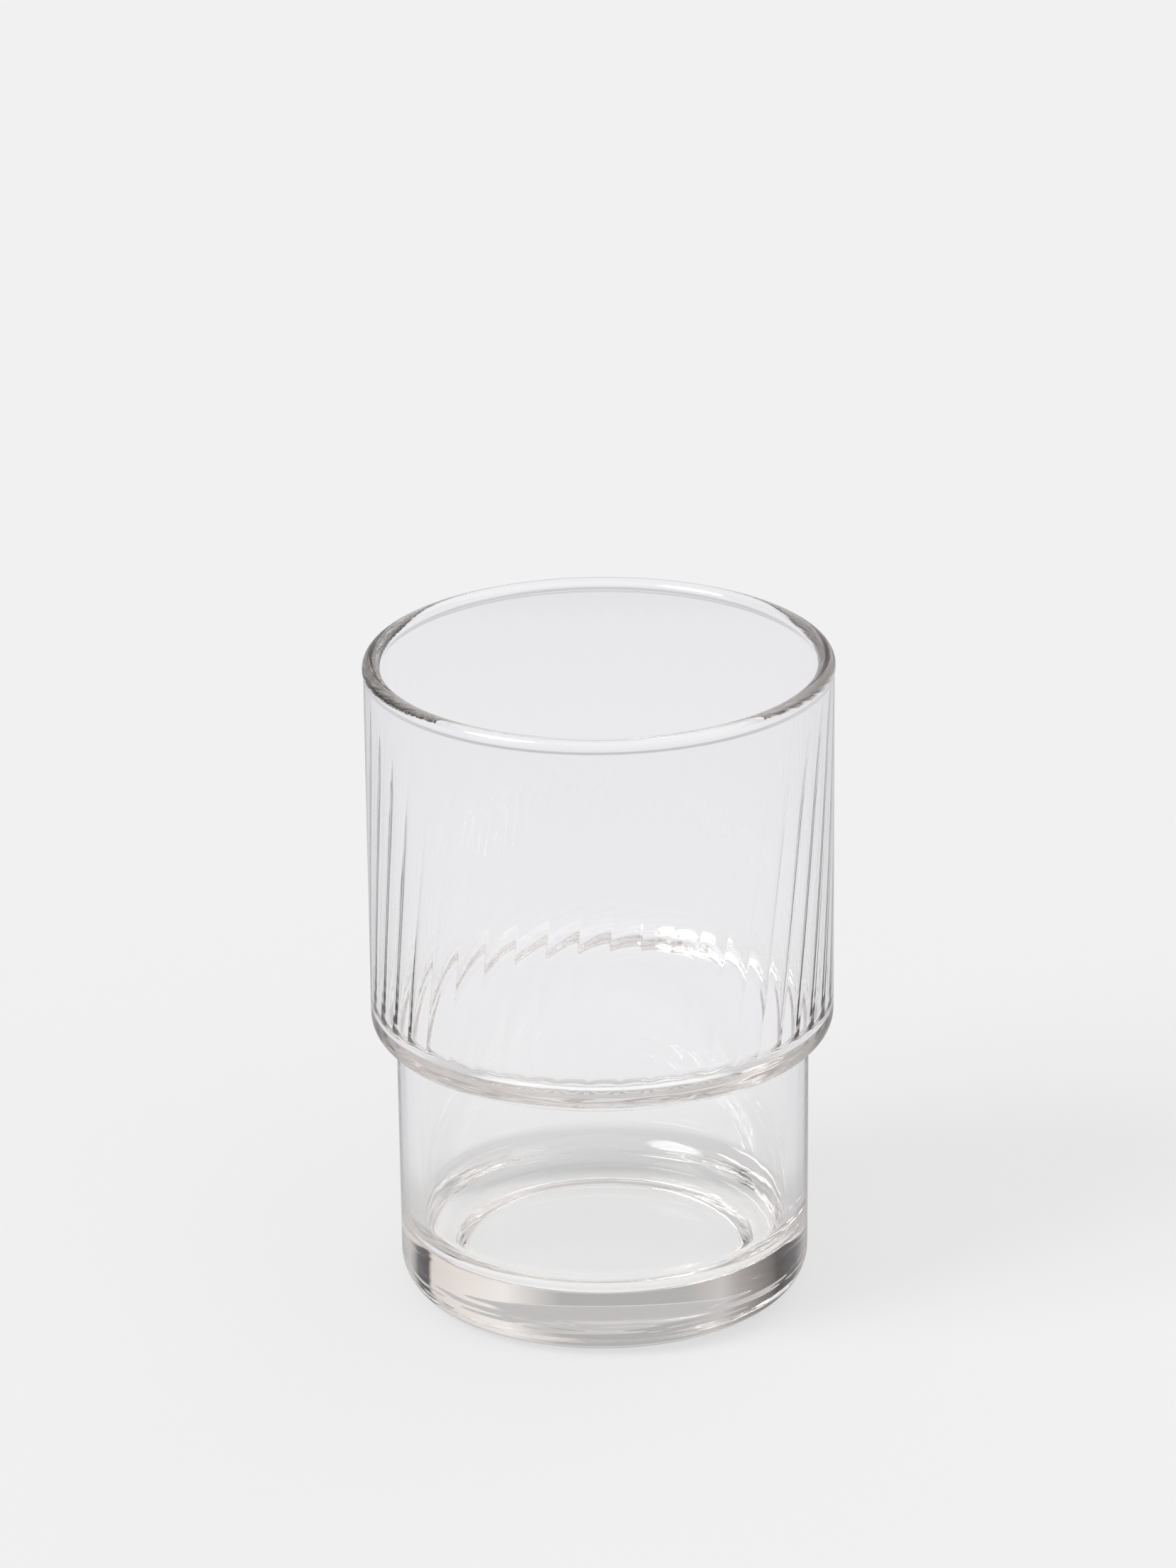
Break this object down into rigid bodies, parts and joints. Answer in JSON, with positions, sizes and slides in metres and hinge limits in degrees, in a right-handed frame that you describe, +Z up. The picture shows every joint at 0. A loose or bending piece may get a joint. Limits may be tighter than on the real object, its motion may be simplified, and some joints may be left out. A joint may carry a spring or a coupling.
{
  "type": "cortado glass",
  "caption": "Stepped stacking tumbler of clear pressed glass with a rounded rim, leaning flutes inside the upper bowl and a thick base, for small milk coffees.",
  "frame": {"origin": "centre of the ring that the glass stands on, at table height", "axes": "+Z up along the axis of the glass, +X and +Y any two square directions, as the shape is round"},
  "size_m": [0.0628, 0.0628, 0.09],
  "materials": {
    "clear_glass": "smooth fire-polished clear soda-lime glass"
  },
  "bodies": {
    "root": {"tumbler": "clear_glass"}
  },
  "joints": []
}
